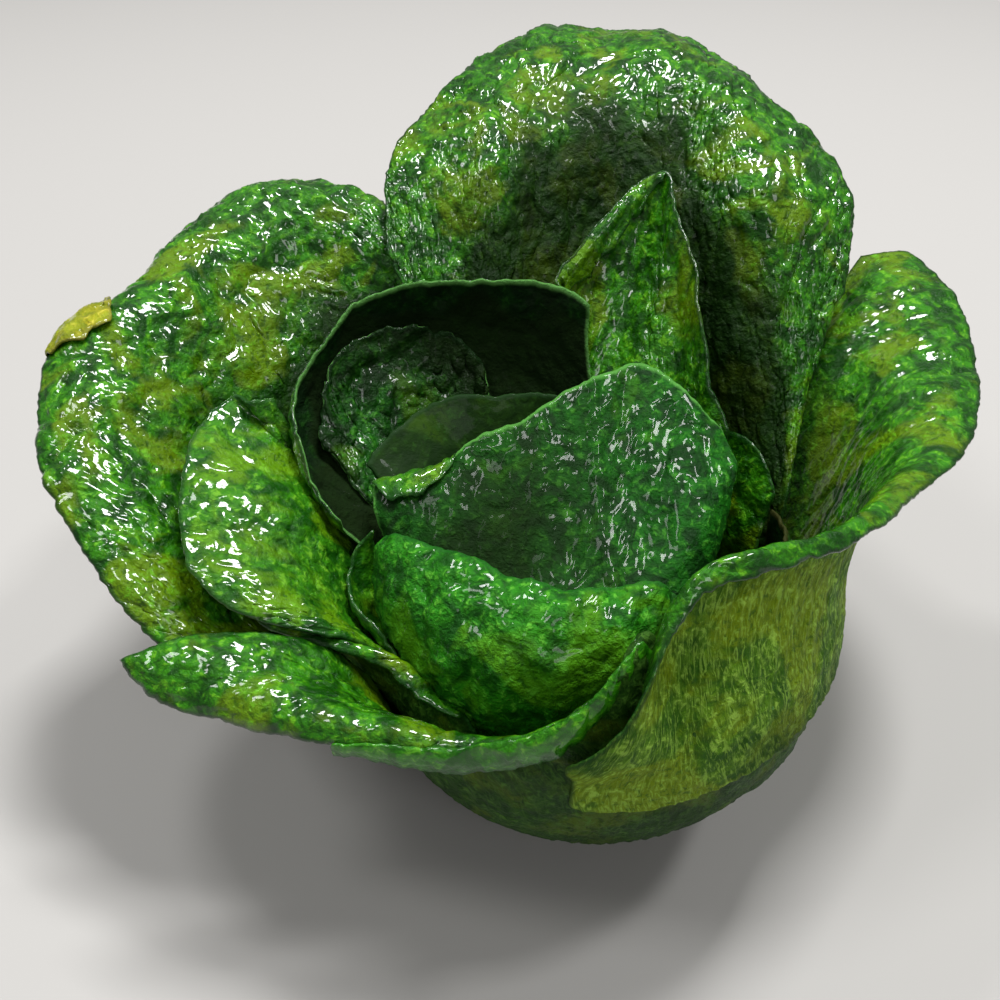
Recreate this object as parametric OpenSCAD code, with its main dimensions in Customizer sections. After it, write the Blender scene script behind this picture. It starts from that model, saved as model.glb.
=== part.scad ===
// A life-size cabbage of lacquered paper leaves around a stem on a foot disc.
// Up is +Z, the front is -Y, the origin is the middle of the foot on the floor.

/* [Ball] */
// radius of the ball that the front and the back leaf wrap
bowl_r = 71; // [66:1:85]
// clearance from the floor to the bottom of that ball
bowl_lift = 9; // [8:0.5:14]
// stretch of all leaf edges outward, 1 as made
flare = 1; // [0.85:0.05:1.2]
// stretch of all leaf edges upward, 1 as made
rise = 1; // [0.85:0.05:1.2]

/* [Paper] */
// thickness of one lacquered paper leaf
paper_t = 1.6; // [1.2:0.1:1.9]
// how far the outermost leaves lie outside the ball
wrap_step = 2.4; // [2.3:0.1:3.5]
// film of glue between a leaf and what carries it
glue_gap = 0.3; // [0.2:0.05:0.5]

/* [Layers] */
// how deep the inner right leaf lies inside the ball
right_inner_in = 6.4; // [6:0.1:7]
// how deep the lower left leaf lies inside the ball
lower_left_in = 5.6; // [5:0.1:6.5]
// how deep the small right leaf lies inside the ball
small_right_in = 8.6; // [8:0.1:9.5]
// how deep the pale left leaf lies inside the ball
pale_left_in = 9.6; // [9:0.1:10.5]
// how deep the pointed leaf lies inside the ball
pointed_in = 20.8; // [20:0.1:21.5]
// how deep the left leaf of the heart lies inside the ball
heart_left_in = 21.8; // [21:0.1:22.2]
// how deep the lower leaf of the heart lies inside the ball
heart_lower_in = 23.6; // [23:0.1:24]
// how deep the hood lies inside the ball
hood_in = 24; // [23.4:0.1:24.4]
// how deep the front leaf of the heart lies inside the ball
heart_front_in = 26.6; // [26:0.1:27]
// how deep the curl under the hood lies inside the ball
hood_curl_in = 26.4; // [26.1:0.1:26.6]
// how deep the smooth lining of the hood lies inside the ball
hood_lining_in = 29; // [28.8:0.1:30]
// how far the heart leans to the left
heart_left_by = 14; // [12:1:15]
// how far the heart leans to the back
heart_back_by = 2; // [0:1:3]

/* [Stem and foot] */
// radius of the stem that carries the leaves
stem_r = 17.5; // [14:0.5:18]
// height of the top of the stem over the floor
stem_top = 48; // [44:1:50]
// radius of the foot disc
foot_r = 34; // [30:1:38]
// thickness of the foot disc
foot_t = 3; // [2:0.5:4]
// rounding of the edges of the foot disc
foot_edge = 0.8; // [0.4:0.1:0.9]
// how far the stem stands to the right of the middle of the foot
stem_right_by = 2; // [0:1:4]
// how far the stem stands in front of the middle of the foot
stem_front_by = 14; // [8:1:15]
// width of the ring of glue around the stem
ring_w = 6; // [3:0.5:8]
// height of the ring of glue on the foot
ring_h = 3; // [2:0.5:4]

/* [Torn scrap] */
// how far the torn scrap reaches past the edge of the left leaf
tab_out = 8; // [4:1:12]

/* [Hidden] */
round_fn = 96;
bowl_z = bowl_r + bowl_lift;
heart = [-heart_left_by, heart_back_by, 0];
none = [0, 0, 0];
// facets of a leaf: across, up the ball, from the ball to the edge
wide = [20, 6, 10];
small = [16, 5, 8];
leaf_green = [0.11, 0.32, 0.07];
pale_green = [0.3, 0.42, 0.1];
dark_green = [0.04, 0.16, 0.04];
tab_yellow = [0.55, 0.5, 0.12];
card_grey = [0.42, 0.38, 0.3];

// ---- curves ----

// a value between b and c of the smooth line a, b, c, d
function between(a, b, c, d, f) =
  (2 * b + (c - a) * f + (2 * a - 5 * b + 4 * c - d) * f * f + (3 * b - a - 3 * c + d) * f * f * f) / 2;

// entry k of a list, carried on past both ends
function entry(p, k) =
  let (n = len(p) - 1)
  k < 0 ? 2 * p[0] - p[1] : k > n ? 2 * p[n] - p[n - 1] : p[k];

// the smooth line through a list, u from 0 to 1
function along(p, u) =
  let (x = u * (len(p) - 1), i = min(floor(x), len(p) - 2))
  between(entry(p, i - 1), entry(p, i), entry(p, i + 1), entry(p, i + 2), x - i);

// the same for a list or one value
function level(v, u) = is_list(v) ? along(v, u) : v;

function ease(s) = s * s * (3 - 2 * s);

function unit(v) = v / norm(v);

function polar(az, r, z) = [r * cos(az), r * sin(az), z];

// ---- leaves ----

// one line of a leaf from its foot to its edge
// foot, waist: directions along the stem and along the line where the leaf leaves the ball
// bend: how far it follows the ball, pull: length of the curve's arms at both ends
// rim rows: direction, distance outside the ball, height over its middle, slope there
function line_up(u, r, foot, waist, bend, pull, rim, start, lean, over, cells) =
  let (
    low = start == undef ? asin((stem_r + glue_gap) / (r - paper_t / 2)) : level(start, u),
    high = level(bend, u),
    foot_az = along(foot, u),
    waist_az = along(waist, u),
    edge = along(rim, u),
    a = polar(waist_az, r * sin(high), bowl_z - r * cos(high)) + lean,
    d = polar(edge[0], bowl_r + flare * edge[1], bowl_z + rise * edge[2]),
    reach = norm(d - a),
    goes = over == undef ? edge[0] : over,
    b = a + polar(waist_az, cos(high), sin(high)) * level(pull[0], u) * reach,
    c = d - polar(goes, cos(edge[3]), sin(edge[3])) * level(pull[1], u) * reach
  )
  concat(
    [for (k = [0:cells[1] - 1])
      let (s = k / cells[1], at = low + (high - low) * s, az = foot_az + (waist_az - foot_az) * ease(s))
      polar(az, r * sin(at), bowl_z - r * cos(at)) + lean * ease(s)],
    [for (k = [0:cells[2]])
      let (q = k / cells[2], p = 1 - q)
      a * p * p * p + 3 * b * q * p * p + 3 * c * q * q * p + d * q * q * q]
  );

// all lines of a leaf side by side
function sheet(depth, foot, waist, bend, pull, rim, start, lean, over, cells) =
  [for (i = [0:cells[0]])
    line_up(i / cells[0], bowl_r - depth, foot, waist, bend, pull, rim, start, lean, over, cells)];

// direction square to a sheet at line i, row j
function square_to(p, i, j) =
  let (n = len(p) - 1, m = len(p[0]) - 1)
  unit(cross(p[min(i + 1, n)][j] - p[max(i - 1, 0)][j], p[i][min(j + 1, m)] - p[i][max(j - 1, 0)]));

// a sheet lifted off itself by h
function lifted(p, h) =
  [for (i = [0:len(p) - 1]) [for (j = [0:len(p[0]) - 1]) p[i][j] + square_to(p, i, j) * h]];

function flat_list(p) = [for (line = p) for (point = line) point];

// closed paper of even thickness along a sheet
module paper(p) {
  m = len(p[0]);
  n = len(p);
  half = n * m;
  loop = concat(
    [for (i = [0:n - 1]) i * m],
    [for (j = [1:m - 1]) (n - 1) * m + j],
    [for (i = [n - 2:-1:0]) i * m + m - 1],
    [for (j = [m - 2:-1:1]) j]
  );
  points = concat(flat_list(lifted(p, paper_t / 2)), flat_list(lifted(p, -paper_t / 2)));
  above = [for (i = [0:n - 2]) for (j = [0:m - 2]) each [
    [i * m + j, (i + 1) * m + j + 1, (i + 1) * m + j],
    [i * m + j, i * m + j + 1, (i + 1) * m + j + 1]
  ]];
  below = [for (f = above) [half + f[0], half + f[2], half + f[1]]];
  side = [for (k = [0:len(loop) - 1])
    let (a = loop[k], b = loop[(k + 1) % len(loop)])
    each [[a, half + b, half + a], [a, b, half + b]]];
  polyhedron(points = points, faces = concat(above, below, side), convexity = 8);
}

// moves the plant from its own middle to its place on the foot
module on_foot() {
  translate([stem_right_by, -stem_front_by, 0]) children();
}

module base_disc() {
  color(card_grey)
    rotate_extrude($fn = round_fn)
      polygon([
        [0, 0], [foot_r - foot_edge, 0], [foot_r, foot_edge],
        [foot_r, foot_t - foot_edge], [foot_r - foot_edge, foot_t], [0, foot_t]
      ]);
}

module stem_core() {
  color(card_grey)
    on_foot()
      translate([0, 0, foot_t])
        cylinder(r = stem_r, h = stem_top - foot_t, $fn = round_fn);
}

module glue_ring() {
  color(card_grey)
    on_foot()
      translate([0, 0, foot_t])
        rotate_extrude($fn = round_fn)
          polygon([
            [stem_r + glue_gap, 0], [stem_r + glue_gap + ring_w, 0],
            [stem_r + glue_gap, ring_h]
          ]);
}

module front_outer_leaf() {
  color(leaf_green)
    on_foot()
      paper(sheet(0, [205, 212, 222, 236, 250, 264, 277, 292, 324, 372],
        [203, 210, 221, 235, 250, 264, 277, 291, 320, 368],
        [78, 78, 80, 90, 98, 102, 103, 98, 88, 82], [0.42, 0.45], [
        [198, 66, 17, -20], [203, 59, 11, -50], [210, 44, 9, -60], [219, 29, 9, -65],
        [229, 17, 10, -65], [241, 8, 12, -60], [252, 5, 19, -60], [262, 2, 28, -60],
        [270, -3, 38, -60], [276, -9, 42, -30], [283, -9, 32, 60], [296, -4, 20, 90],
        [325, 0, 15, 90], [362, 0, 10, 90]
      ], undef, none, undef, wide));
}

module right_outer_leaf() {
  color(leaf_green)
    on_foot()
      paper(sheet(-wrap_step, [262, 402], [262, 402],
        [92, 94, 98, 104, 106, 100, 76, 56, 52], [0.45, 0.45], [
        [261, 6, 15, 90], [267, 7, 23, 90], [273, 4, 34, 90], [279, -3, 46, 0],
        [284, -7, 52, -40], [291, -9, 56, -50], [300, -8, 57, -55], [311, -6, 56, -55],
        [326, 0, 54, -50], [342, 8, 51, -40], [354, 17, 48, -30], [364, 33, 46, -15],
        [374, 50, 46, -15], [385, 68, 50, -10], [395, 85, 56, 0], [404, 94, 60, 5],
        [409, 85, 58, 20]
      ], [86, 86, 88, 90, 90, 84, 60, 40, 30], none, undef, wide));
}

module back_outer_leaf() {
  color(leaf_green)
    on_foot()
      paper(sheet(0, [125, 30], [130, 26], [74, 66, 60, 60, 66, 74], [0.42, 0.4], [
        [123, 49, 68, 50], [117, 77, 88, 20], [107, 97, 104, -5], [97, 119, 111, -15],
        [86, 137, 114, -15], [76, 123, 113, -15], [67, 95, 106, -5], [58, 87, 96, 0],
        [50, 75, 80, 20], [45, 55, 58, 50]
      ], undef, none, undef, wide));
}

left_sheet = sheet(-wrap_step, [110, 206], [112, 206],
  [66, 45, 32, 30, 34, 45, 64],
  [[0.45, 0.55, 0.6, 0.6, 0.5], [0.35, 0.25, 0.25, 0.25, 0.3]], [
  [118, 79, 73, 20], [123, 99, 76, -10], [131, 113, 74, -30], [140, 111, 68, -35],
  [150, 105, 61, -35], [159, 109, 57, -30], [168, 104, 49, -30], [177, 91, 40, -25],
  [184, 77, 30, -15], [189, 67, 21, 0], [193, 58, 12, 0], [197, 45, 2, 10],
  [201, 29, -6, 20]
], undef, none, undef, wide);

module left_outer_leaf() {
  color(leaf_green)
    on_foot()
      paper(left_sheet);
}

// lines of the left leaf under the scrap, and the rows it is glued to
tab_lines = [8, 9];
tab_rows = 1;

module left_rim_tab() {
  last = len(left_sheet[0]) - 1;
  up = lifted(left_sheet, -paper_t - glue_gap);
  scrap = [for (i = [tab_lines[0]:tab_lines[1]])
    concat(
      [for (j = [last - tab_rows:last]) up[i][j]],
      [up[i][last] + unit(up[i][last] - up[i][last - 1]) * tab_out]
    )];
  color(tab_yellow)
    on_foot()
      paper(scrap);
}

module pale_left_leaf() {
  color(pale_green)
    on_foot()
      paper(sheet(pale_left_in, [140, 205], [145, 205], 50, [0.45, 0.4], [
        [157, 36, 46, 60], [160, 41, 47, 60], [160, 49, 46, 30], [168, 53, 42, 10],
        [177, 50, 38, 0], [184, 48, 32, 0], [190, 44, 28, 0], [195, 36, 23, 0],
        [198, 27, 19, 0], [200, 18, 17, 10], [202, 11, 16, 30]
      ], undef, none, undef, small));
}

module lower_left_leaf() {
  color(leaf_green)
    on_foot()
      paper(sheet(lower_left_in, [172, 238], [178, 238], 60, [0.4, 0.35], [
        [187, 37, 18, 0], [190, 35, 15, -10], [194, 28, 12, -20], [200, 17, 11, -20],
        [208, 2, 8, -20], [219, -6, 0, -10], [230, -11, -2, 20]
      ], undef, none, undef, small));
}

module right_inner_leaf() {
  color(dark_green)
    on_foot()
      paper(sheet(right_inner_in, [292, 385], [292, 385], 84, [0.3, 0.4], [
        [300, -24, 16, 120], [325, -22, 22, 120], [350, -18, 22, 115],
        [370, -12, 18, 110], [384, -8, 14, 90]
      ], undef, none, undef, small));
}

module small_right_leaf() {
  color(leaf_green)
    on_foot()
      paper(sheet(small_right_in, [25, 65], [25, 65], 80, [0.4, 0.4], [
        [30, 1, 12, 80], [36, 3, 20, 70], [44, 5, 24, 70], [52, 5, 22, 80]
      ], undef, none, undef, small));
}

module heart_lower_leaf() {
  color(leaf_green)
    on_foot()
      paper(sheet(heart_lower_in, [180, 330], [180, 335], 84, [0.5, 0.35], [
        [179, -10, 24, 120], [187, -17, 29, 150], [202, -30, 31, 165], [225, -37, 31, 170],
        [250, -40, 31, 170], [278, -43, 30, 165], [300, -43, 28, 150], [314, -39, 22, 130],
        [325, -33, 12, 110]
      ], undef, heart, undef, small));
}

module heart_front_leaf() {
  color(leaf_green)
    on_foot()
      paper(sheet(heart_front_in, [170, 370], [170, 380], 84,
        [[0.4, 0.25, 0.2, 0.22, 0.3, 0.4], 0.5], [
        [161, 0, 25, 0], [153, -18, 32, 20], [138, -24, 38, 30], [118, -31, 43, 35],
        [86, -22, 49, 35], [72, -15, 51, 35], [52, -20, 48, 30], [38, -19, 40, 20],
        [28, -21, 33, 0]
      ], undef, heart, 90, small));
}

module heart_left_leaf() {
  color(pale_green)
    on_foot()
      paper(sheet(heart_left_in, [170, 215], [170, 212], 80, [0.4, 0.4], [
        [173, -5, 21, 90], [176, -1, 16, 90], [181, 1, 10, 90], [190, -1, 8, 90],
        [197, -5, 5, 90], [204, -9, 0, 90]
      ], undef, heart, undef, small));
}

module hood_leaf() {
  color(dark_green)
    on_foot()
      paper(sheet(hood_in, [70, 168], [66, 170], 84, [0.45, 0.35], [
        [89, -5, 65, 90], [97, -1, 70, 100], [111, 7, 71, 110], [124, 15, 71, 110],
        [134, 26, 67, 110], [141, 29, 63, 110], [149, 30, 54, 110], [157, 28, 45, 110],
        [164, 20, 36, 100], [169, 13, 27, 90], [172, 6, 22, 90]
      ], undef, heart, undef, small));
}

module hood_curl() {
  color(dark_green)
    on_foot()
      paper(sheet(hood_curl_in, [110, 160], [110, 162], 84, [0.35, 0.25], [
        [117, -1, 38, 66], [118, 4, 47, 76], [123, 10, 54, 88], [130, 17, 57, 98],
        [137, 23, 56, 101], [144, 26, 53, 101], [149, 26, 47, 89], [153, 23, 39, 66],
        [158, 19, 33, 54]
      ], undef, heart, undef, small));
}

module hood_lining() {
  color(dark_green)
    on_foot()
      paper(sheet(hood_lining_in, [78, 160], [76, 162], 84, [0.45, 0.35], [
        [88, -18, 42, 74], [98, -15.5, 39, 68], [108, -9.5, 37, 62], [118, -5.5, 36.5, 58],
        [127, 0.5, 36.5, 54], [136, 5.5, 34, 48], [142, 6, 31, 47], [148, 7.5, 28, 45],
        [154, 7.5, 25, 42]
      ], undef, heart, undef, small));
}

module pointed_leaf() {
  color(leaf_green)
    on_foot()
      paper(sheet(pointed_in, [98, 20], [98, 20], 84, [0.45, 0.35], [
        [92, 11, 58, 90], [96, 9, 68, 90], [90, 19, 77, 90], [84, 27, 86, 80],
        [79, 35, 92, 80], [75, 35, 95, 70], [72, 23, 87, 70], [66, 9, 77, 80],
        [58, -5, 64, 80], [50, -13, 51, 80], [38, -15, 38, 80]
      ], undef, heart, undef, small));
}

base_disc();
stem_core();
glue_ring();
front_outer_leaf();
right_outer_leaf();
back_outer_leaf();
left_outer_leaf();
left_rim_tab();
pale_left_leaf();
lower_left_leaf();
right_inner_leaf();
small_right_leaf();
hood_leaf();
hood_curl();
hood_lining();
pointed_leaf();
heart_front_leaf();
heart_lower_leaf();
heart_left_leaf();
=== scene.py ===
"""A life-size cabbage of lacquered paper leaves, laid around a stem on a foot disc.

Lengths are in millimetres until a mesh is made. Up is +Z, the front is -Y.
"""

import math

import bpy
import numpy as np
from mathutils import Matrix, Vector


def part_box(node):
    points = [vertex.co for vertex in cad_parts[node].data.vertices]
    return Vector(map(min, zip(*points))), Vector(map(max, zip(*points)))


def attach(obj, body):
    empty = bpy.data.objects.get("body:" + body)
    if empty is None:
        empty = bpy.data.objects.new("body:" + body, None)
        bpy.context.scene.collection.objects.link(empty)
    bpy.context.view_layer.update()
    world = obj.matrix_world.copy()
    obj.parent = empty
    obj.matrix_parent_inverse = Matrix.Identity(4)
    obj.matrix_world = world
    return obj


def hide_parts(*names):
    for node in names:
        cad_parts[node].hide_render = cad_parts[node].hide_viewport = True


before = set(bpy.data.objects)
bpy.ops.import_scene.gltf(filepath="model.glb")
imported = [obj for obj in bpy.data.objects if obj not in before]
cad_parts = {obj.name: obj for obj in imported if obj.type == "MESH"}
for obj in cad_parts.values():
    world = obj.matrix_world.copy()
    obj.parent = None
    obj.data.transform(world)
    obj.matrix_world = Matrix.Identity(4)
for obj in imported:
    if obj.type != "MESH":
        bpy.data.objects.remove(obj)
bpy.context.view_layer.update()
scene = bpy.context.scene

MM = 0.001
Z = np.array([0.0, 0.0, 1.0])

# ---- the stem, as the frame has it ----

stem_low, stem_high = (np.array(corner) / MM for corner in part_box("stem_core"))
PLANT = (stem_low + stem_high) / 2 * (1, 1, 0)  # the plant's middle on the floor
STEM = (stem_high[0] - stem_low[0]) / 2

# ---- the ball of leaves ----

GLUE = 0.3  # film of glue between the stem and a leaf's foot
PAPER = 1.6
BALL = 71.0  # radius of the ball the outer leaves wrap
BALL_UP = 80.0  # height of its middle
HEART = np.array([-14.0, 2.0, 0.0])  # how far the heart leans

# ---- how fine the meshes are ----

CELL = 1.0  # width of a mesh cell
FEWEST_CELLS = 24  # across a leaf and along it
ROUGH_COLUMNS, ROUGH_ROWS = 121, (40, 70)  # for measuring a leaf; rows on the ball, rows off it
FINE_ROWS = (60, 110)  # for laying it

# ---- how the paper is worked ----

WAVE = 42  # length of the waves in a leaf
FOLD = 17  # width of its folds
WRINKLE_IN, WRINKLE_OUT = 9, 11  # width of the tissue's wrinkles on its two faces
THIN_EDGE, THINS_OVER = 0.45, 5  # share of the thickness left at a torn edge, and the way it takes
BEAD, BEAD_IN, BEAD_WIDE = 0.2, 1.2, 1.1  # lacquer gathered along an edge: height, distance in, width
# torn edges: how much is torn off all along, and bites of (length, depth, row and seed of their noise)
FREE_EDGE = (0.3, ((17, 0.6, 0, 7), (6, 0.4, 3, 8), (2.4, 0.4, 5, 9)))
FIRST_SIDE = (0.5, ((15, 0.6, 0, 20), (4, 0.3, 0, 22)))
LAST_SIDE = (0.5, ((15, 0.6, 1, 21), (4, 0.3, 1, 23)))
USUAL_HOLLOW_SHADE = (40, 90, 0.7)  # painted shade in a leaf's hollows: distances from the edge where it starts to darken and is darkest; how dark
HOLLOW_SHADE_RAGGED, HOLLOW_SHADE_BITE, SHADOW_PATCH_BITE = 14, 22, 12  # how ragged the painted shade's edge is, the length of its bites, and that of the painted shadow patches' bites

# ---- smooth lines ----


def through(rows, u):
    """The smooth line through a list of rows, at each u from 0 to 1."""
    rows = np.asarray(rows, float)
    if rows.ndim == 1:
        rows = rows[:, None]
    last = len(rows) - 1
    place = np.clip(u, 0, 1) * last
    i = np.minimum(np.floor(place).astype(int), last - 1)
    f = (place - i)[:, None]
    padded = np.vstack([2 * rows[0] - rows[1], rows, 2 * rows[-1] - rows[-2]])
    a, b, c, d = (padded[i + k] for k in range(4))
    bent = (2 * a - 5 * b + 4 * c - d) * f + (3 * b - a - 3 * c + d) * f * f
    return (2 * b + (c - a) * f + bent * f) / 2


def level(value, u):
    """One value, or a list of them across the leaf."""
    return through(value, u)[:, 0] if np.ndim(value) else value + 0 * u


def ease(s):
    """From 0 to 1, slow at both ends."""
    return s * s * (3 - 2 * s)


def smooth(low, high, x):
    """0 below low, 1 above high, smooth between."""
    return ease(np.clip((x - low) / (high - low), 0, 1))


def polar(azimuth, radius, height):
    """Points around the plant's middle, from directions in degrees."""
    a = np.radians(azimuth)
    return np.stack([radius * np.cos(a), radius * np.sin(a), height + 0 * a], -1)


def unit(vectors):
    """The vectors made one long."""
    return vectors / (np.linalg.norm(vectors, axis=-1, keepdims=True) + 1e-9)


# ---- noise ----


NOISE_CELLS = 64  # after this many cells the noise repeats
NOISE_REACH = 1.5  # brings its peaks near 1


def noise(x, y, seed):
    """Smooth noise from about -1 to 1 in the plane, the same each time for one seed."""
    angle = np.random.default_rng(seed).random((NOISE_CELLS, NOISE_CELLS)) * 2 * math.pi
    gx, gy = np.cos(angle), np.sin(angle)
    i, j = np.floor(x).astype(int), np.floor(y).astype(int)
    fx, fy = x - i, y - j

    def corner(di, dj):
        a, b = (i + di) % NOISE_CELLS, (j + dj) % NOISE_CELLS
        return gx[a, b] * (fx - di) + gy[a, b] * (fy - dj)

    sx, sy = (f**3 * (f * (f * 6 - 15) + 10) for f in (fx, fy))
    low = corner(0, 0) * (1 - sx) + corner(1, 0) * sx
    high = corner(0, 1) * (1 - sx) + corner(1, 1) * sx
    return NOISE_REACH * (low * (1 - sy) + high * sy)


def crumple(x, y, size, seed, octaves=4):
    """Creased paper: folds of about this size with smaller ones in them."""
    wx = x + 0.35 * size * noise(x / size, y / size, seed + 50)
    wy = y + 0.35 * size * noise(x / size + 9, y / size, seed + 51)
    height, share, total = 0, 1.0, 0
    for k in range(octaves):
        bent = noise(wx / size + 7 * k, wy / size + 3 * k, seed + k)
        height = height + share * (1 - 2 * np.abs(bent))
        total += share
        share *= 0.55
        size *= 0.5
        wx, wy = wx + 0.3 * size * bent, wy - 0.3 * size * bent
    return height / total


# ---- leaves ----


def lines_up(leaf, u, low_rows, high_rows):
    """The leaf's middle surface: rows from foot to edge, columns across.

    A line follows the ball and then a curve with an arm at each end, as in the part's source.
    """
    radius = BALL - leaf["depth"]
    lean = HEART if leaf.get("heart") else np.zeros(3)
    rim = through(leaf["rim"], u)
    foot, waist = level(leaf["foot"], u), level(leaf["waist"], u)
    bend = np.radians(level(leaf["bend"], u))
    if "start" in leaf:
        start = np.radians(level(leaf["start"], u))
    else:
        start = np.arcsin((STEM + GLUE) / (radius - PAPER / 2)) + 0 * u
    rows = []
    for k in range(low_rows):
        s = k / low_rows
        at = start + (bend - start) * s
        azimuth = foot + (waist - foot) * ease(s)
        on_ball = polar(azimuth, radius * np.sin(at), BALL_UP - radius * np.cos(at))
        rows.append(on_ball + lean * ease(s))
    a = polar(waist, radius * np.sin(bend), BALL_UP - radius * np.cos(bend)) + lean
    d = polar(rim[:, 0], BALL + rim[:, 1], BALL_UP + rim[:, 2])
    reach = np.linalg.norm(d - a, axis=1)[:, None]
    goes = leaf["over"] + 0 * u if "over" in leaf else rim[:, 0]
    slope = np.radians(rim[:, 3])
    pull = leaf["pull"]
    b = a + polar(waist, np.cos(bend), np.sin(bend)) * level(pull[0], u)[:, None] * reach
    c = d - polar(goes, np.cos(slope), np.sin(slope)) * level(pull[1], u)[:, None] * reach
    for k in range(high_rows + 1):
        q = k / high_rows
        p = 1 - q
        rows.append(a * p**3 + 3 * b * q * p * p + 3 * c * q * q * p + d * q**3)
    return np.array(rows) + PLANT


def lengths(points, axis):
    """Distance walked along an axis of a grid of points."""
    steps = np.linalg.norm(np.diff(points, axis=axis), axis=2)
    zero = np.zeros_like(np.take(steps, [0], axis=axis))
    return np.concatenate([zero, np.cumsum(steps, axis=axis)], axis=axis)


def resampled(points, walked, wanted):
    """Each column of points again, at the wanted distances along it."""
    out = np.empty((wanted.shape[0], points.shape[1], 3))
    for i in range(points.shape[1]):
        for k in range(3):
            out[:, i, k] = np.interp(wanted[:, i], walked[:, i], points[:, i, k])
    return out


def square_to(points, leaf):
    """Unit vectors square to a grid of points, out of the plant."""
    n = unit(np.cross(np.gradient(points, axis=1), np.gradient(points, axis=0)))
    return n * (1 if anticlockwise(leaf) else -1)


def anticlockwise(leaf):
    """Whether the leaf runs anticlockwise from its first side to its last, seen from above."""
    return leaf["foot"][-1] > leaf["foot"][0]


def torn_off(x, torn, seed, even, bites):
    """How much paper is torn off an edge, at each distance x along it."""
    rag = sum(depth * noise(x / length, 0 * x + row, seed + extra) for length, depth, row, extra in bites)
    return np.clip(torn * (even + rag), 0, None)


def folded(leaf, s, t, edge, wide, tall):
    """How far folds, dents and creases lift the paper outward."""
    seed = leaf["seed"]
    free = smooth(0.25 * tall, 0.75 * tall, t)
    lift = leaf.get("wave", 2.0) * noise(s / WAVE, t / WAVE, seed) * free
    lift = lift + leaf.get("crumple", 1.2) * crumple(s, t, FOLD, seed + 1) * (0.25 + 0.75 * free)
    for u, v, half_wide, half_tall, height in leaf.get("dents", ()):
        far = ((s / wide - u) / half_wide) ** 2 + ((1 - edge / tall - v) / half_tall) ** 2
        lift = lift + height * np.exp(-far)
    here = np.stack([s, tall - edge], -1)
    for start, end, width, height in leaf.get("creases", ()):
        a, b = (np.array(place) * (wide, tall) for place in (start, end))
        nearest = np.clip(((here - a) @ (b - a)) / ((b - a) @ (b - a)), 0, 1)
        far = np.linalg.norm(here - a - nearest[..., None] * (b - a), axis=2)
        lift = lift + height * np.exp(-far / width)
    return lift


def leaf_sheet(leaf):
    """The leaf's middle surface with folds and a torn edge.

    Returns points, outward directions and, for each point, the distances
    across, along, to the free edge and to the nearest side.
    """
    seed, torn = leaf["seed"], leaf.get("torn", 1.6)
    rough = lines_up(leaf, np.linspace(0, 1, ROUGH_COLUMNS), *ROUGH_ROWS)
    wide = lengths(rough, 1)[-1, -1]
    tall = lengths(rough, 0)[-1].max()
    u, v = (np.linspace(0, 1, max(int(size / CELL), FEWEST_CELLS) + 1) for size in (wide, tall))

    points = lines_up(leaf, u, *FINE_ROWS)
    walked = lengths(points, 0)
    ends = walked[-1] - torn_off(lengths(points, 1)[-1], torn, seed, *FREE_EDGE)
    t = v[:, None] * ends[None]
    points = resampled(points, walked, t)
    edge = ends[None] - t

    turned = points.transpose(1, 0, 2)
    side = lengths(turned, 0)
    start = torn_off(t[:, 0], torn, seed, *FIRST_SIDE)
    stop = np.maximum(side[-1] - torn_off(t[:, 0], torn, seed, *LAST_SIDE), start + 1)
    place = u[:, None] * (stop - start)[None] + start[None]
    points = resampled(turned, side, place).transpose(1, 0, 2)
    place = place.T

    # half the place in the uncut leaf, half the distance from the middle, so that the folds run evenly
    from_middle = place - place.mean(axis=1, keepdims=True) + wide / 2
    s = (u[None] * wide + from_middle) * 0.5
    points = points + square_to(points, leaf) * folded(leaf, s, t, edge, wide, tall)[..., None]
    near = np.minimum(place - place[:, :1], place[:, -1:] - place)
    return points, square_to(points, leaf), s, t, edge, near


def mesh_of(name, vertices, faces, numbers, slots):
    """A smooth mesh object from arrays, with one number per vertex for each name in numbers."""
    mesh = bpy.data.meshes.new(name)
    mesh.vertices.add(len(vertices))
    mesh.vertices.foreach_set("co", (np.asarray(vertices) * MM).astype(np.float32).ravel())
    mesh.loops.add(faces.size)
    mesh.loops.foreach_set("vertex_index", faces.astype(np.int32).ravel())
    mesh.polygons.add(len(faces))
    corners = faces.shape[1]
    mesh.polygons.foreach_set("loop_start", np.arange(0, faces.size, corners, dtype=np.int32))
    mesh.polygons.foreach_set("material_index", slots.astype(np.int32))
    for key, values in numbers.items():
        layer = mesh.attributes.new(key, "FLOAT", "POINT")
        layer.data.foreach_set("value", values.astype(np.float32).ravel())
    mesh.update(calc_edges=True)
    mesh.validate()
    mesh.polygons.foreach_set("use_smooth", np.ones(len(mesh.polygons), bool))
    piece = bpy.data.objects.new(name, mesh)
    scene.collection.objects.link(piece)
    return piece


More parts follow.
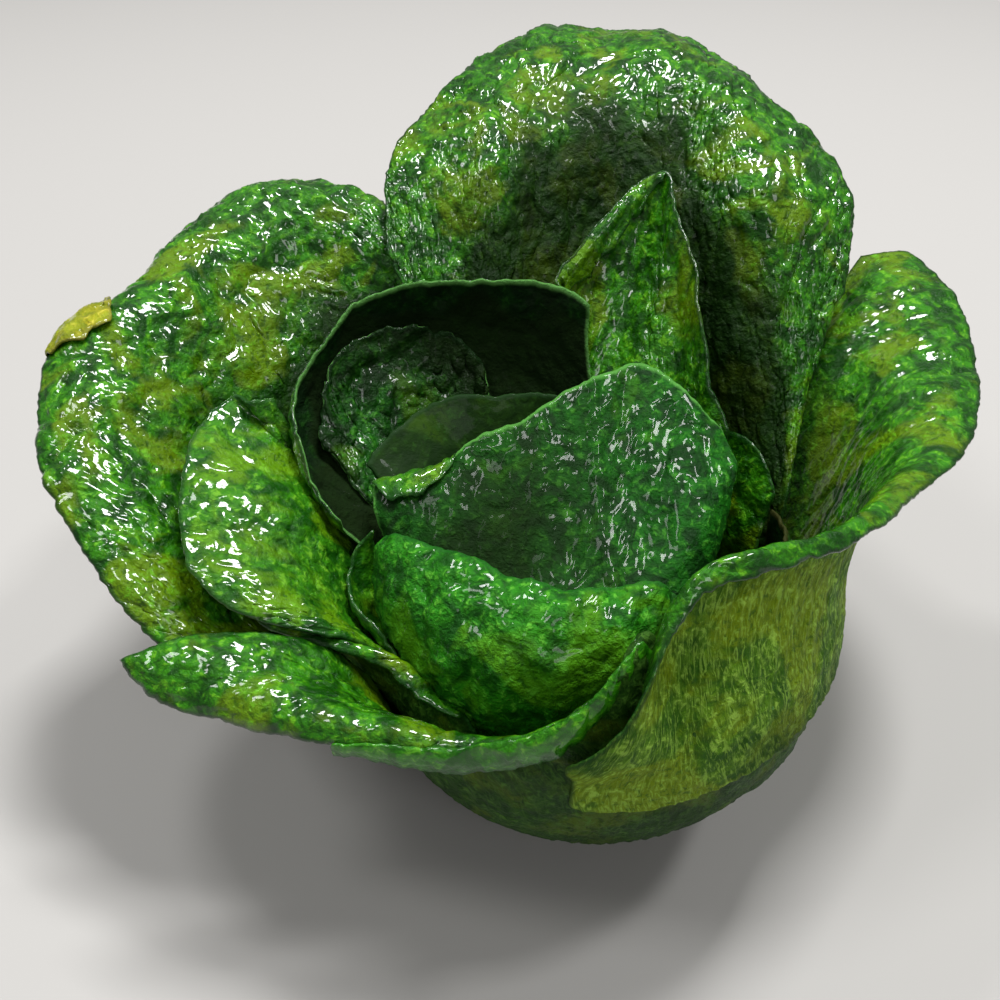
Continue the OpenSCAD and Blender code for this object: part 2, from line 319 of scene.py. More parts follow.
def closed_sheet(name, points, inner, outer, numbers, finishes, flip, round_edge=0.45):
    """A closed mesh between two faces of a sheet, with a rounded edge and a finish on each face."""
    rows, columns = points.shape[:2]
    count = rows * columns
    index = np.arange(count).reshape(rows, columns)
    quads = np.stack([index[:-1, :-1], index[:-1, 1:], index[1:, 1:], index[1:, :-1]], -1).reshape(-1, 4)
    loop = np.concatenate([index[0, :-1], index[:-1, -1], index[-1, :0:-1], index[:0:-1, 0]])

    grow = np.zeros_like(points)
    grow[-1] += points[-1] - points[-2]
    grow[0] += points[0] - points[1]
    grow[:, 0] += points[:, 0] - points[:, 1]
    grow[:, -1] += points[:, -1] - points[:, -2]
    grow = unit(grow.reshape(-1, 3)[loop])
    middle = ((inner + outer) / 2).reshape(-1, 3)[loop] + grow * round_edge
    vertices = np.concatenate([inner.reshape(-1, 3), outer.reshape(-1, 3), middle])

    after = np.roll(loop, -1)
    m = 2 * count + np.arange(len(loop))
    m_after = np.roll(m, -1)
    face_in = quads[:, ::-1] if flip else quads
    face_out = (quads if flip else quads[:, ::-1]) + count
    side_in = np.stack([loop, after, m_after, m], -1)
    side_out = np.stack([m, m_after, after + count, loop + count], -1)
    if not flip:
        side_in, side_out = side_in[:, ::-1], side_out[:, ::-1]
    faces = np.concatenate([face_in, side_in, face_out, side_out])
    slots = np.repeat([0, 1], [len(face_in) + len(side_in), len(face_out) + len(side_out)])

    spread = {key: np.concatenate([v.ravel(), v.ravel(), v.ravel()[loop]]) for key, v in numbers.items()}
    spread["rim"][2 * count:] = 0
    piece = mesh_of(name, vertices, faces, spread, slots)
    for finish in finishes:
        piece.data.materials.append(finish)
    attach(piece, "root")
    return piece


def shading(leaf, s, t, edge):
    """Painted shade at each point, 0 to 1: darker down in the leaf's hollows and at patches of painted
    shadow.
    """
    seed = leaf["seed"]
    # painted shade, darker the further down from the edge
    near, deep, strength = leaf.get("hollow_shade", USUAL_HOLLOW_SHADE)
    ragged = HOLLOW_SHADE_RAGGED * noise(s / HOLLOW_SHADE_BITE, t / HOLLOW_SHADE_BITE, seed + 41)
    shade = strength * smooth(near, deep, edge + ragged)
    # patches of painted shadow where the leaf lies in shade
    spread = 1 + 0.5 * noise(s / SHADOW_PATCH_BITE, t / SHADOW_PATCH_BITE, seed + 43)
    across, from_edge = (s - s.min()) / (s.max() - s.min()), edge / edge.max()
    for u, v, half_wide, half_tall, more in leaf.get("painted_shadows", ()):
        far = ((across - u) / half_wide) ** 2 + ((from_edge - v) / half_tall) ** 2
        shade = shade + more * np.exp(-far * spread)
    return np.clip(shade, 0, 1)


def paper_leaf(leaf):
    """A closed sheet of lacquered paper with tissue wrinkles on both faces."""
    points, out, s, t, edge, near = leaf_sheet(leaf)
    seed, tissue = leaf["seed"], leaf.get("tissue", 0.6)
    rim = np.minimum(edge, near + 0.5)
    thick = PAPER / 2 * (THIN_EDGE + (1 - THIN_EDGE) * smooth(0, THINS_OVER, rim))
    thick = thick + BEAD * np.exp(-((rim - BEAD_IN) / BEAD_WIDE) ** 2)
    # on the outer face the wrinkles run along the leaf
    fine_in = tissue * crumple(s, t, WRINKLE_IN, seed + 11, 3) * (0.4 + 0.6 * smooth(0, 6, rim))
    fine_out = 1.1 * tissue * crumple(s * 1.5, t * 0.7, WRINKLE_OUT, seed + 31, 3) * smooth(0, 4, rim)
    inner = points - out * (thick + fine_in)[..., None]
    outer = points + out * (thick + fine_out)[..., None]
    numbers = {"rim": rim, "across": s, "along": t, "shade": shading(leaf, s, t, edge)}
    finishes = (leaf["inside"], leaf["outside"])
    name = leaf["name"] + "_paper"
    piece = closed_sheet(name, points, inner, outer, numbers, finishes, anticlockwise(leaf))
    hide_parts(leaf["name"])
    if "lip" in leaf:
        hanging_lip(leaf, points, s, *leaf["lip"])
    for number, turned in enumerate(leaf.get("hems", ())):
        hem(leaf, number, (points, out, s, edge), *turned)


# ---- strips along a leaf's edge ----

STRIP_EDGE = 0.3  # rounding of a strip's edge
LIP_ABOVE = 0.15  # share of the lip's width that lies over the rolled edge
LIP_STEEP, LIP_STEEPER = 62, 26  # its slope in degrees at the edge, and how much it gains on the way down
HEM_HALF = 0.45  # half the thickness of a turned edge
HEM_TURN = 2.2  # way in from the edge that the turn takes
HEM_OVER = PAPER + 0.5  # height of its middle over the leaf's


def columns_of(s, first, last):
    """The leaf's columns between two places across it, and how far across they are."""
    most = s.shape[1] - 1
    columns = np.arange(int(first * most), int(last * most) + 1)
    return columns, s[-1, columns]


def strip_width(x, width, tip, blunt, ragged, bite, least, seed):
    """Width of a strip at each x along it: narrow at its two ends, with a ragged side."""
    place = np.clip(np.linspace(0, 1, len(x)), tip, 1 - tip)
    return width * np.sin(math.pi * place) ** blunt * (1 + ragged * noise(x / bite, 0 * x, seed)) + least


def hanging_lip(leaf, points, s, first, last, width, finish):
    """The rolled edge's last stretch, which hangs over the wall outside."""
    seed = leaf["seed"] + 70
    columns, x = columns_of(s, first, last)
    wide = strip_width(x, width, tip=0.03, blunt=0.5, ragged=0.25, bite=11, least=1.0, seed=seed)[None]
    rows = max(int(width / CELL) + 4, 8)
    down = np.linspace(-LIP_ABOVE, 1, rows)[:, None] * wide
    edge = points[-1, columns]
    away = unit((edge - PLANT) * (1, 1, 0))
    steep = np.radians(LIP_STEEP + LIP_STEEPER * smooth(0, 1, down / wide))[..., None]
    square = away * np.sin(steep) + Z * np.cos(steep)
    across = np.broadcast_to(x[None], down.shape)
    lift = 0.5 + 1.1 * crumple(across, down, 9, seed, 3)
    hang = edge + (away * np.cos(steep) - Z * np.sin(steep)) * down[..., None] + square * lift[..., None]
    half = (0.35 + 0.45 * smooth(0, 3, wide - down))[..., None] * square
    numbers = {"rim": np.minimum(wide - down, down + 4), "across": across, "along": down, "shade": 0 * down}
    piece = closed_sheet(leaf["name"] + "_lip", hang, hang + half, hang - half, numbers, (finish, finish),
                         anticlockwise(leaf), STRIP_EDGE)


def hem(leaf, number, sheet, first, last, width, side, finish, stands_for=None):
    """A stretch of the free edge turned over onto the leaf: side 1 is its outer face, -1 its inner.

    It may stand for the scrap, which has a node of its own.
    """
    points, out, s, edge = sheet
    seed = leaf["seed"] + 60 + number
    columns, x = columns_of(s, first, last)
    wide = strip_width(x, width, tip=0.02, blunt=0.6, ragged=0.35, bite=9, least=0.8, seed=seed)[None]
    rows = max(int(width / CELL) + 2, 6)
    back = np.linspace(0, 1, rows)[:, None] * wide
    from_edge = edge[::-1, columns]
    square = resampled(out[::-1, columns], from_edge, back)
    across = np.broadcast_to(x[None], back.shape)
    turn = np.sqrt(np.clip(1 - (1 - np.clip(back / HEM_TURN, 0, 1)) ** 2, 0, 1))
    up = turn * HEM_OVER + 0.9 * crumple(across, back, 8, seed, 3) * smooth(0, 4, back)
    lie = resampled(points[::-1, columns], from_edge, back) + side * square * up[..., None]
    half = HEM_HALF * square
    numbers = {"rim": np.minimum(back + 2, wide - back), "across": across, "along": back, "shade": 0 * back}
    piece = closed_sheet(f"{leaf['name']}_turned_edge_{number}", lie, lie - half, lie + half, numbers,
                         (finish, finish), not anticlockwise(leaf), STRIP_EDGE)
    if stands_for:
        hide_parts(stands_for)


# ---- shader maths ----


class Out:
    """A node's output that can stand in sums and products."""

    def __init__(self, tree, socket):
        self.tree = tree
        self.socket = socket

    def maths(self, operation, *values):
        return node(self.tree, "ShaderNodeMath", {"operation": operation}, dict(enumerate(values)))

    def __add__(self, other):
        return self.maths("ADD", self, other)

    def __radd__(self, other):
        return self.maths("ADD", other, self)

    def __sub__(self, other):
        return self.maths("SUBTRACT", self, other)

    def __rsub__(self, other):
        return self.maths("SUBTRACT", other, self)

    def __mul__(self, other):
        return self.maths("MULTIPLY", self, other)

    def __rmul__(self, other):
        return self.maths("MULTIPLY", other, self)

    def over(self, low, high):
        """0 below low, 1 above high, smooth between."""
        settings = {"interpolation_type": "SMOOTHSTEP"}
        return node(self.tree, "ShaderNodeMapRange", settings, {0: self, 1: low, 2: high})


def node(tree, kind, settings, sockets, out=0):
    """A node with its settings made first, then its sockets' values or links."""
    made = tree.nodes.new(kind)
    for key, value in settings.items():
        setattr(made, key, value)
    for key, value in sockets.items():
        if isinstance(value, Out):
            tree.links.new(value.socket, made.inputs[key])
        elif made.inputs[key].type == "RGBA":
            made.inputs[key].default_value = (*value, 1)
        else:
            made.inputs[key].default_value = value
    return Out(tree, made.outputs[out]) if made.outputs else None


def mix(tree, factor, first, second):
    """The first colour where the factor is 0, the second where it is 1."""
    return node(tree, "ShaderNodeMix", {"data_type": "RGBA"}, {0: factor, 6: first, 7: second}, 2)


def texture(tree, where, size, detail, kind="FBM", rough=0.55, warp=0.0):
    """Noise with features of about this size in millimetres."""
    sockets = {"Vector": where, "Scale": 1 / (size * MM), "Detail": detail, "Roughness": rough,
               "Distortion": warp}
    return node(tree, "ShaderNodeTexNoise", {"noise_type": kind}, sockets)


def new_material(name):
    made = bpy.data.materials.new(name)
    made.use_nodes = True
    made.node_tree.nodes.clear()
    return made, made.node_tree


def finish_material(tree, sockets):
    shader = node(tree, "ShaderNodeBsdfPrincipled", {}, sockets)
    node(tree, "ShaderNodeOutputMaterial", {}, {"Surface": shader})


def attribute(tree, name):
    return node(tree, "ShaderNodeAttribute", {"attribute_name": name}, {}, 2)


def object_place(tree):
    return node(tree, "ShaderNodeTexCoord", {}, {}, 3)


# ---- lacquer ----

HOLLOW_SHADE_COLOUR = (0.004, 0.012, 0.001)  # painted shade: the colour the leaves darken to down in their hollows, where little light reaches
# sizes of the patterns in the lacquer, from the largest
BLOT, CLOUD, CRINKLE, SPECK, FIBRE, GRAIN = 24, 8, 3.4, 2.4, 1.6, 1.0
FIBRE_LENGTHENED = 0.3  # the fibres' pattern is drawn out along the leaf by its inverse
RELIEF = 1.15  # height of the wrinkles that stand in the lacquer
COAT_ROUGH, COAT_BENDS_LIGHT, UNDERCOAT_GLOSS = 0.07, 1.42, 0.1


def lacquered(name, deep, body, light, olive, edge,
              olive_at=0.5, rough=0.25, fibre=0.0, gloss=0.9, relief=1.0):
    """Lacquer over crinkled tissue: the paper's mottle, with painted shade in its creases and painted
    highlight on its crests, dull and dark with painted shade down in the hollows.

    The colours are the deepest green, also painted as shade in the creases, most of the paper's, the
    lightest, also painted as highlight on the crests, the olive blots' and the torn edge's.
    A higher olive_at leaves fewer blots, and fibre is how clearly the fibres show.
    """
    made, tree = new_material(name)
    where = object_place(tree)
    across, along = attribute(tree, "across"), attribute(tree, "along")
    laid_sockets = {0: across * MM, 1: along * (FIBRE_LENGTHENED * MM), 2: 0.0}
    laid = node(tree, "ShaderNodeCombineXYZ", {}, laid_sockets)
    blot = texture(tree, where, BLOT, 4, warp=0.8)
    cloud = texture(tree, where, CLOUD, 5, warp=1.2)
    speck = texture(tree, where, SPECK, 4, warp=0.6)
    crinkle = texture(tree, where, CRINKLE, 5, "RIDGED_MULTIFRACTAL", 0.6, 0.7)
    fibres = texture(tree, laid, FIBRE, 5, rough=0.65, warp=1.4)
    grain = texture(tree, where, GRAIN, 3)
    shade, rim = attribute(tree, "shade"), attribute(tree, "rim")

    colour = mix(tree, cloud.over(0.36, 0.64), deep, body)
    colour = mix(tree, blot.over(olive_at, olive_at + 0.14) * 0.85, colour, olive)
    # painted highlight on the specks' crests and painted shade in their creases, over the paper's own mottle
    colour = mix(tree, speck.over(0.52, 0.66) * cloud.over(0.4, 0.6) * 0.8, colour, light)
    colour = mix(tree, (1 - speck.over(0.34, 0.46)) * 0.65, colour, deep)
    if fibre:
        # the same for the fibres: painted highlight on their crests and painted shade between them
        colour = mix(tree, fibres.over(0.5, 0.62) * fibre, colour, light)
        colour = mix(tree, (1 - fibres.over(0.38, 0.47)) * fibre * 0.8, colour, deep)
    # painted shade: darker down in the hollows and at the painted shadow patches; the gloss dulls with it
    # below
    colour = mix(tree, shade * (0.55 + 0.6 * cloud), colour, HOLLOW_SHADE_COLOUR)
    colour = mix(tree, (1 - rim.over(0.3, 1.8)) * 0.8, colour, edge)

    height = crinkle * (0.5 * gloss + 0.12) + grain * 0.42 + speck * 0.75 + fibres * (0.1 + 1.2 * fibre)
    bump = {"Strength": 0.9, "Distance": RELIEF * relief * MM, "Height": height}
    finish_material(tree, {
        "Base Color": colour,
        "Roughness": rough + 0.2 * cloud + shade * 0.2,
        "Coat Weight": gloss * (1 - shade * 0.9),
        "Coat Roughness": COAT_ROUGH,
        "Coat IOR": COAT_BENDS_LIGHT,
        "Specular IOR Level": UNDERCOAT_GLOSS,
        "Normal": node(tree, "ShaderNodeBump", {}, bump),
    })
    return made


green_in = lacquered(
    "green_lacquer", deep=(0.004, 0.045, 0.001), body=(0.03, 0.19, 0.003), light=(0.13, 0.40, 0.012),
    olive=(0.11, 0.21, 0.001), edge=(0.003, 0.03, 0.003))
lip_in = lacquered(
    "lip_lacquer", deep=(0.01, 0.09, 0.002), body=(0.035, 0.22, 0.004), light=(0.14, 0.42, 0.02),
    olive=(0.07, 0.24, 0.003), edge=(0.01, 0.08, 0.005), olive_at=0.55)
# painted shade: a near-black, dull copy of the green lacquer for the shaded inside of the hood and the faces
# hidden behind it; its torn edge stays pale
shaded_green_in = lacquered(
    "shaded_green_lacquer", deep=(0.001, 0.010, 0.001), body=(0.002, 0.022, 0.001), light=(0.008, 0.05, 0.003),
    olive=(0.008, 0.022, 0.001), edge=(0.10, 0.28, 0.06), olive_at=0.58, gloss=0.05, rough=0.6)
# painted shade: a near-black, brownish lacquer for the right inner leaf, which fills the shadow between the
# heart and the right leaf
shadow_brown_in = lacquered(
    "shadow_brown_lacquer", deep=(0.001, 0.012, 0.001), body=(0.004, 0.03, 0.002), light=(0.012, 0.07, 0.005),
    olive=(0.012, 0.03, 0.001), edge=(0.03, 0.03, 0.006), olive_at=0.58, gloss=0.1, rough=0.5)
# painted shade: a darker copy of the green lacquer, with a darkened edge, for the curl inside the shaded hood
curl_shaded_in = lacquered(
    "curl_shaded_lacquer", deep=(0.002, 0.02, 0.001), body=(0.008, 0.08, 0.004), light=(0.05, 0.22, 0.015),
    olive=(0.04, 0.12, 0.003), edge=(0.003, 0.02, 0.002), olive_at=0.55, relief=1.4, gloss=0.6)
# painted shade: a near-black, dull copy of the lacquer for the lining inside the shaded hood
lining_shaded_in = lacquered(
    "lining_shaded_lacquer", deep=(0.004, 0.02, 0.001), body=(0.007, 0.03, 0.001), light=(0.015, 0.06, 0.004),
    olive=(0.025, 0.07, 0.001), edge=(0.006, 0.03, 0.004), olive_at=0.6, gloss=0.05, rough=0.5, relief=0.3)
pale_in = lacquered(
    "pale_lacquer", deep=(0.006, 0.06, 0.002), body=(0.035, 0.19, 0.004), light=(0.15, 0.40, 0.02),
    olive=(0.10, 0.24, 0.003), edge=(0.01, 0.06, 0.008), olive_at=0.47)
# painted shade: a darker, duller copy of the green lacquer for the heart's front leaf, which lies in shade
heart_shaded_in = lacquered(
    "heart_shaded_lacquer", deep=(0.002, 0.03, 0.002), body=(0.008, 0.11, 0.004), light=(0.06, 0.28, 0.02),
    olive=(0.035, 0.16, 0.003), edge=(0.09, 0.3, 0.05), olive_at=0.55, rough=0.45, gloss=0.25, relief=1.2)
heart_low_in = lacquered(
    "heart_low_lacquer", deep=(0.005, 0.06, 0.003), body=(0.022, 0.2, 0.006), light=(0.11, 0.42, 0.03),
    olive=(0.07, 0.25, 0.004), edge=(0.01, 0.1, 0.008), olive_at=0.5, rough=0.4, gloss=0.4, relief=1.4)
green_out = lacquered(
    "green_outside", deep=(0.006, 0.035, 0.002), body=(0.02, 0.075, 0.005), light=(0.07, 0.18, 0.02),
    olive=(0.07, 0.12, 0.004), edge=(0.01, 0.07, 0.008), fibre=0.35, rough=0.55, gloss=0.12, relief=1.3)
scrap = lacquered(
    "yellow_scrap", deep=(0.16, 0.2, 0.005), body=(0.36, 0.34, 0.01), light=(0.6, 0.55, 0.06),
    olive=(0.3, 0.36, 0.01), edge=(0.2, 0.2, 0.02))
olive_out = lacquered(
    "olive_outside", deep=(0.025, 0.10, 0.003), body=(0.10, 0.24, 0.01), light=(0.36, 0.62, 0.08),
    olive=(0.19, 0.29, 0.005), edge=(0.01, 0.05, 0.006), olive_at=0.42, fibre=0.5, rough=0.6, gloss=0.08,
    relief=1.4)

# ---- the leaves ----
# Places across a leaf run from 0 at its first side to 1, and places along it from 0 at its foot.
#
# depth: how deep it lies inside the ball; heart: it leans with the heart
# foot, waist: directions along the stem, and where it leaves the ball
# start, bend: angles up the ball from its bottom, where the leaf starts and where it leaves
# pull: length of the curve's arms at both ends; over: the direction its whole edge points
# rim rows: direction, distance outside the ball, height over its middle, slope there
# wave, crumple, tissue, torn: depth of its waves, folds, wrinkles and torn edges
# dents rows: place across, place along, half their width, half their height, how far out
# creases rows: one end, the other end, width, how far out
# hollow_shade: painted shade down in the leaf: distances from the edge where it starts to darken and is
# darkest, and how dark
# painted_shadows rows: patches of painted shadow: place across, place from the edge down, half their width,
# half their height, how dark
# hems rows: first and last place across, width, side, finish, and the node that it stands for
# lip: first and last place across, width, finish

LEAVES = [
    dict(name="front_outer_leaf", slot="leaf_green", seed=11, inside=green_in, outside=green_out,
         lip=(0.25, 0.775, 8, lip_in),
         depth=0, foot=(205, 212, 222, 236, 250, 264, 277, 292, 324, 372),
         waist=(203, 210, 221, 235, 250, 264, 277, 291, 320, 368),
         bend=(78, 78, 80, 90, 98, 102, 103, 98, 88, 82), pull=(0.42, 0.45),
         rim=[(198, 66, 17, -20), (203, 59, 11, -50), (210, 44, 9, -60), (219, 29, 9, -65),
              (229, 17, 10, -65), (241, 8, 12, -60), (252, 5, 19, -60), (262, 2, 28, -60),
              (270, -3, 38, -60), (276, -9, 42, -30), (283, -9, 32, 60), (296, -4, 20, 90),
              (325, 0, 15, 90), (362, 0, 10, 90)]),
    dict(name="right_outer_leaf", slot="leaf_green", seed=23, inside=green_in, outside=olive_out,
         depth=-2.4, start=(86, 86, 88, 90, 90, 84, 60, 40, 30), foot=(262, 402), waist=(262, 402),
         bend=(92, 94, 98, 104, 106, 100, 76, 56, 52), pull=(0.45, 0.45),
         rim=[(261, 6, 15, 90), (267, 7, 23, 90), (273, 4, 34, 90), (279, -3, 46, 0),
              (284, -7, 52, -40), (291, -9, 56, -50), (300, -8, 57, -55), (311, -6, 56, -55),
              (326, 0, 54, -50), (342, 8, 51, -40), (354, 17, 48, -30), (364, 33, 46, -15),
              (374, 50, 46, -15), (385, 68, 50, -10), (395, 85, 56, 0), (404, 94, 60, 5),
              (409, 85, 58, 20)]),
    dict(name="back_outer_leaf", slot="leaf_green", seed=37, inside=green_in, outside=green_out,
         depth=0, foot=(125, 30), waist=(130, 26), bend=(74, 66, 60, 60, 66, 74), pull=(0.42, 0.4),
         wave=4.0, crumple=2.0, hollow_shade=(46, 76, 1.0),
         rim=[(123, 49, 68, 50), (117, 77, 88, 20), (107, 97, 104, -5), (97, 119, 111, -15),
              (86, 137, 114, -15), (76, 123, 113, -15), (67, 95, 106, -5), (58, 87, 96, 0),
              (50, 75, 80, 20), (45, 55, 58, 50)]),
    dict(name="left_outer_leaf", slot="leaf_green", seed=41, inside=green_in, outside=green_out,
         depth=-2.4, foot=(110, 206), waist=(112, 206), bend=(66, 45, 32, 30, 34, 45, 64),
         pull=((0.45, 0.55, 0.6, 0.6, 0.5), (0.35, 0.25, 0.25, 0.25, 0.3)), wave=3.5, crumple=2.0,
         hollow_shade=(48, 80, 1.0), painted_shadows=((0.76, 0.42, 0.16, 0.2, 0.7), (0.6, 0.36, 0.13, 0.12, 1.0)),
         hems=((0.42, 0.52, 15, -1, scrap, "left_rim_tab"),),
         rim=[(118, 79, 73, 20), (123, 99, 76, -10), (131, 113, 74, -30), (140, 111, 68, -35),
              (150, 105, 61, -35), (159, 109, 57, -30), (168, 104, 49, -30), (177, 91, 40, -25),
              (184, 77, 30, -15), (189, 67, 21, 0), (193, 58, 12, 0), (197, 45, 2, 10),
              (201, 29, -6, 20)]),
    dict(name="pale_left_leaf", slot="leaf_pale", seed=53, inside=pale_in, outside=green_out,
         depth=9.6, foot=(140, 205), waist=(145, 205), bend=50, pull=(0.45, 0.4),
         rim=[(157, 36, 46, 60), (160, 41, 47, 60), (160, 49, 46, 30), (168, 53, 42, 10),
              (177, 50, 38, 0), (184, 48, 32, 0), (190, 44, 28, 0), (195, 36, 23, 0),
              (198, 27, 19, 0), (200, 18, 17, 10), (202, 11, 16, 30)]),
    dict(name="lower_left_leaf", slot="leaf_green", seed=59, inside=green_in, outside=green_out,
         depth=5.6, foot=(172, 238), waist=(178, 238), bend=60, pull=(0.4, 0.35),
         rim=[(187, 37, 18, 0), (190, 35, 15, -10), (194, 28, 12, -20), (200, 17, 11, -20),
              (208, 2, 8, -20), (219, -6, 0, -10), (230, -11, -2, 20)]),
    dict(name="right_inner_leaf", slot="leaf_dark", seed=61, inside=shadow_brown_in, outside=shadow_brown_in,
         # painted shade: this leaf's near-black finish and darkening stand for the shadow between the heart
         # and the right leaf
         hollow_shade=(1, 8, 0.9),
         depth=6.4, foot=(292, 385), waist=(292, 385), bend=84, pull=(0.3, 0.4),
         rim=[(300, -24, 16, 120), (325, -22, 22, 120), (350, -18, 22, 115),
              (370, -12, 18, 110), (384, -8, 14, 90)]),
    dict(name="small_right_leaf", slot="leaf_green", seed=67, inside=green_in, outside=green_in,
         depth=8.6, foot=(25, 65), waist=(25, 65), bend=80, pull=(0.4, 0.4),
         rim=[(30, 1, 12, 80), (36, 3, 20, 70), (44, 5, 24, 70), (52, 5, 22, 80)]),
    dict(name="heart_lower_leaf", slot="leaf_green", seed=71, inside=heart_low_in, outside=heart_low_in,
         hollow_shade=(70, 110, 0.7), tissue=0.9, crumple=2.2, painted_shadows=((0.93, 0.5, 0.12, 0.5, 0.8),),
         creases=(((0.2, 0.95), (0.3, 0.6), 2.5, -1.5), ((0.55, 0.95), (0.6, 0.55), 2.5, 1.5),
                  ((0.7, 0.85), (0.85, 0.6), 3, 1.8)),
         depth=23.6, heart=True, foot=(180, 330), waist=(180, 335), bend=84, pull=(0.5, 0.35),
         rim=[(179, -10, 24, 120), (187, -17, 29, 150), (202, -30, 31, 165), (225, -37, 31, 170),
              (250, -40, 31, 170), (278, -43, 30, 165), (300, -43, 28, 150), (314, -39, 22, 130),
              (325, -33, 12, 110)]),
    dict(name="heart_front_leaf", slot="leaf_green", seed=73, inside=heart_shaded_in, outside=heart_shaded_in,
         hems=((0.01, 0.2, 9, 1, pale_in),), hollow_shade=(200, 300, 0), painted_shadows=((0.3, 0.35, 0.28, 0.35, 1.2),),
         dents=((0.33, 0.62, 0.16, 0.14, -5), (0.75, 0.8, 0.1, 0.1, 3)),
         creases=(((0.55, 1.0), (0.62, 0.5), 3, 2.2), ((0.9, 0.9), (0.7, 0.55), 3, 1.5)),
         depth=26.6, heart=True, foot=(170, 370), waist=(170, 380), bend=84, over=90,
         pull=((0.4, 0.25, 0.2, 0.22, 0.3, 0.4), 0.5),
         rim=[(161, 0, 25, 0), (153, -18, 32, 20), (138, -24, 38, 30), (118, -31, 43, 35),
              (86, -22, 49, 35), (72, -15, 51, 35), (52, -20, 48, 30), (38, -19, 40, 20),
              (28, -21, 33, 0)]),
    dict(name="heart_left_leaf", slot="leaf_pale", seed=79, inside=pale_in, outside=pale_in,
         hollow_shade=(60, 100, 0.3),
         depth=21.8, heart=True, foot=(170, 215), waist=(170, 212), bend=80, pull=(0.4, 0.4),
         rim=[(173, -5, 21, 90), (176, -1, 16, 90), (181, 1, 10, 90), (190, -1, 8, 90),
              (197, -5, 5, 90), (204, -9, 0, 90)]),
    dict(name="hood_leaf", slot="leaf_dark", seed=83, inside=shaded_green_in, outside=green_in, hollow_shade=(3, 9, 0.95),
         depth=24, heart=True, foot=(70, 168), waist=(66, 170), bend=84, pull=(0.45, 0.35),
         rim=[(89, -5, 65, 90), (97, -1, 70, 100), (111, 7, 71, 110), (124, 15, 71, 110),
              (134, 26, 67, 110), (141, 29, 63, 110), (149, 30, 54, 110), (157, 28, 45, 110),
              (164, 20, 36, 100), (169, 13, 27, 90), (172, 6, 22, 90)]),
    dict(name="hood_curl", slot="leaf_dark", seed=89, inside=curl_shaded_in, outside=shaded_green_in,
         depth=26.4, heart=True, foot=(110, 160), waist=(110, 162), bend=84, pull=(0.35, 0.25),
         wave=2.5, tissue=0.9, crumple=2.6, torn=4, hollow_shade=(60, 90, 0.8),
         painted_shadows=((0.05, 0.1, 0.3, 0.6, 1.0), (0.5, 0.0, 0.5, 0.12, 0.6)),
         rim=[(117, -1, 38, 66), (118, 4, 47, 76), (123, 10, 54, 88), (130, 17, 57, 98),
              (137, 23, 56, 101), (144, 26, 53, 101), (149, 26, 47, 89), (153, 23, 39, 66),
              (158, 19, 33, 54)]),
    dict(name="hood_lining", slot="leaf_dark", seed=91, inside=lining_shaded_in, outside=shaded_green_in,
         depth=29, heart=True, foot=(78, 160), waist=(76, 162), bend=84, pull=(0.45, 0.35),
         wave=0.6, crumple=0.3, tissue=0.15, hollow_shade=(40, 90, 0.8),
         rim=[(88, -18, 42, 74), (98, -15.5, 39, 68), (108, -9.5, 37, 62), (118, -5.5, 36.5, 58),
              (127, 0.5, 36.5, 54), (136, 5.5, 34, 48), (142, 6, 31, 47), (148, 7.5, 28, 45),
              (154, 7.5, 25, 42)]),
    dict(name="pointed_leaf", slot="leaf_green", seed=97, inside=green_in, outside=green_in,
         hollow_shade=(70, 110, 0.6), hems=((0.04, 0.42, 12, -1, pale_in),),
         depth=20.8, heart=True, foot=(98, 20), waist=(98, 20), bend=84, pull=(0.45, 0.35),
         rim=[(92, 11, 58, 90), (96, 9, 68, 90), (90, 19, 77, 90), (84, 27, 86, 80),
              (79, 35, 92, 80), (75, 35, 95, 70), (72, 23, 87, 70), (66, 9, 77, 80),
              (58, -5, 64, 80), (50, -13, 51, 80), (38, -15, 38, 80)]),
]

for leaf in LEAVES:
    paper_leaf(leaf)


# ---- card and glue ----


def plain_paper(name, colour, rough):
    """Matte card or glue with a slight mottle."""
    made, tree = new_material(name)
    where = object_place(tree)
    mottle = texture(tree, where, 6, 4)
    fibre = texture(tree, where, 0.8, 3)
    dark = tuple(0.7 * c for c in colour)
    bump = {"Strength": 0.4, "Distance": 0.3 * MM, "Height": fibre}
    finish_material(tree, {
        "Base Color": mix(tree, mottle.over(0.35, 0.65), dark, colour),
        "Roughness": rough + 0.1 * mottle,
        "Normal": node(tree, "ShaderNodeBump", {}, bump),
    })
    return made


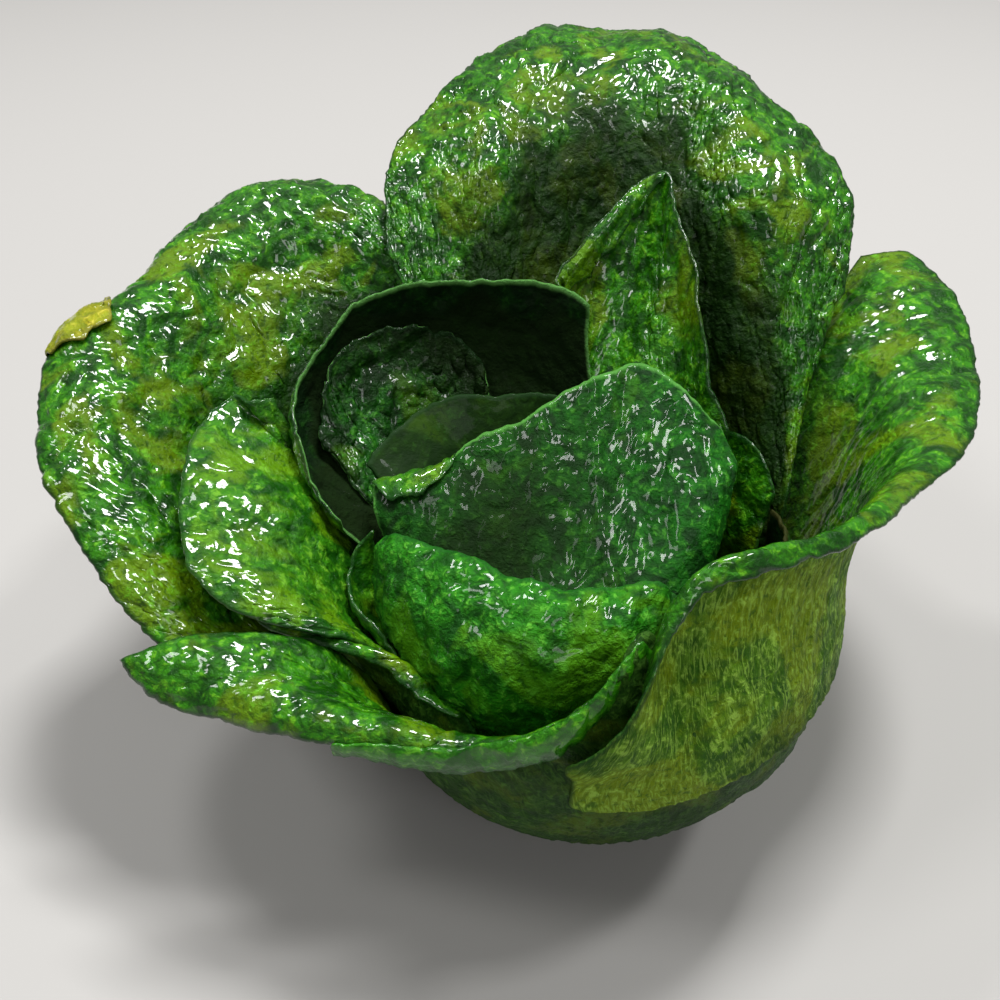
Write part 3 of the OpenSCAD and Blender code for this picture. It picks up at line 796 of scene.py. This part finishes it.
card = plain_paper("grey_card", (0.3, 0.25, 0.17), 0.8)
glue = plain_paper("dried_glue", (0.5, 0.45, 0.32), 0.35)
for name, finish in (("base_disc", card), ("stem_core", card), ("glue_ring", glue)):
    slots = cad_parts[name].data.materials
    slots.clear()
    slots.append(finish)

# ---- floor, lights and camera ----

FLOOR_WIDE = 12  # metres, as are the places and sizes of the lamps
AIM = (0, 0, 0.1)
AMBIENT = 0.17
SENSOR = 36
VIEW_ANGLE = math.radians(50)
PITCH = math.radians(38)
EYE = np.array([-27.7, -241.6, 306.7])  # the camera, from the plant's middle on the floor

floor_material, floor_tree = new_material("pale_floor")
floor_finish = {"Base Color": (0.44, 0.43, 0.415), "Roughness": 0.9, "Specular IOR Level": 0.1}
finish_material(floor_tree, floor_finish)
bpy.ops.mesh.primitive_plane_add(size=FLOOR_WIDE, location=(0, 0, 0))
floor = bpy.context.object
floor.name = "floor"
floor.data.materials.append(floor_material)


def lamp(name, place, size, power):
    """A square soft light that faces the plant."""
    data = bpy.data.lights.new(name, "AREA")
    data.size = size
    data.energy = power
    made = bpy.data.objects.new(name, data)
    scene.collection.objects.link(made)
    made.location = place
    made.rotation_euler = (Vector(AIM) - Vector(place)).to_track_quat("-Z", "Y").to_euler()


lamp("key", (0.4, 0.6, 2.5), 0.55, 60)
lamp("ceiling_left", (-0.8, 0.8, 2.2), 0.3, 16)
lamp("ceiling_right", (1.1, 0.0, 2.2), 0.3, 16)
lamp("fill", (-1.3, -0.3, 2.2), 0.5, 14)
lamp("front", (0.5, -1.6, 1.6), 0.6, 7)

world = bpy.data.worlds.new("studio")
world.use_nodes = True
sky = world.node_tree.nodes["Background"].inputs
sky["Color"].default_value = (1.0, 0.99, 0.97, 1)
sky["Strength"].default_value = AMBIENT
scene.world = world

camera_data = bpy.data.cameras.new("camera")
camera_data.sensor_width = SENSOR
camera_data.lens = SENSOR / 2 / math.tan(VIEW_ANGLE / 2)
camera = bpy.data.objects.new("camera", camera_data)
scene.collection.objects.link(camera)
camera.location = (EYE + PLANT) * MM
camera.rotation_euler = (math.pi / 2 - PITCH, 0, 0)
scene.camera = camera
scene.view_settings.view_transform = "Standard"
